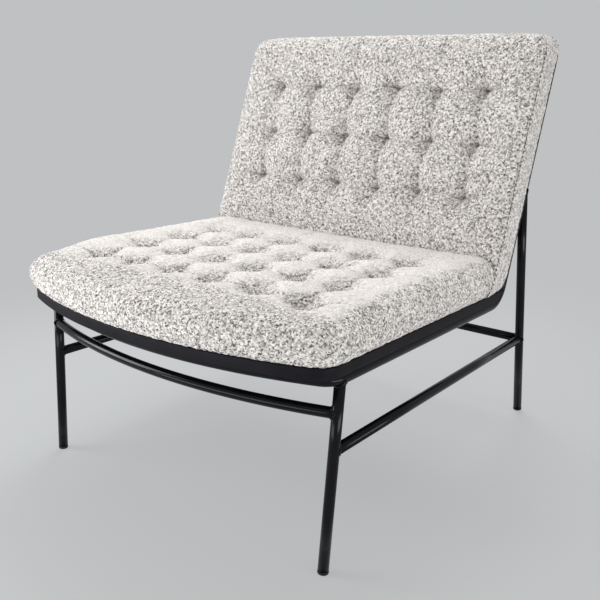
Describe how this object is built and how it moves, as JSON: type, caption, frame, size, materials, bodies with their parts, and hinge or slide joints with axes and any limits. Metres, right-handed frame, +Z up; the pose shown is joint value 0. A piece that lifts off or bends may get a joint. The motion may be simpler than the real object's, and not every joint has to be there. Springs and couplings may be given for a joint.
{
  "type": "armless lounge chair",
  "caption": "Low armless lounge chair: tufted seat cushion on a bowed platform and a reclined tufted back cushion, carried by a welded frame of round black steel tube",
  "frame": {"origin": "on the floor, under the middle of the chair's width and depth", "axes": "+Z up, +Y toward the back of the chair, +X toward the right side as seen from the front; the chair faces -Y"},
  "size_m": [0.644, 0.7694, 0.7192],
  "materials": {
    "black_steel": "satin black powder coat",
    "black_board": "satin black lacquer",
    "plywood": "raw birch plywood",
    "foam": "upholstery foam",
    "boucle": "cream boucle with grey and black flecks",
    "foot_plastic": "black moulded plastic"
  },
  "bodies": {
    "root": {"back_board": "plywood", "back_cover": "boucle", "back_cross_bar_lower": "black_steel", "back_cross_bar_upper": "black_steel", "back_foam": "foam", "back_gusset": "boucle", "back_rear_cover": "boucle", "back_top_rail": "black_steel", "back_upright_left": "black_steel", "back_upright_right": "black_steel", "front_glides": "foot_plastic", "front_leg_left": "black_steel", "front_leg_right": "black_steel", "front_rail": "black_steel", "front_stretcher": "black_steel", "rear_glides": "foot_plastic", "rear_leg_left": "black_steel", "rear_leg_right": "black_steel", "rear_stretcher": "black_steel", "seat_cover": "boucle", "seat_cross_bar_front": "black_steel", "seat_cross_bar_rear": "black_steel", "seat_foam": "foam", "seat_pad_board": "plywood", "seat_platform": "black_board", "side_rail_left": "black_steel", "side_rail_right": "black_steel", "side_stretcher_left": "black_steel", "side_stretcher_right": "black_steel"}
  },
  "joints": []
}
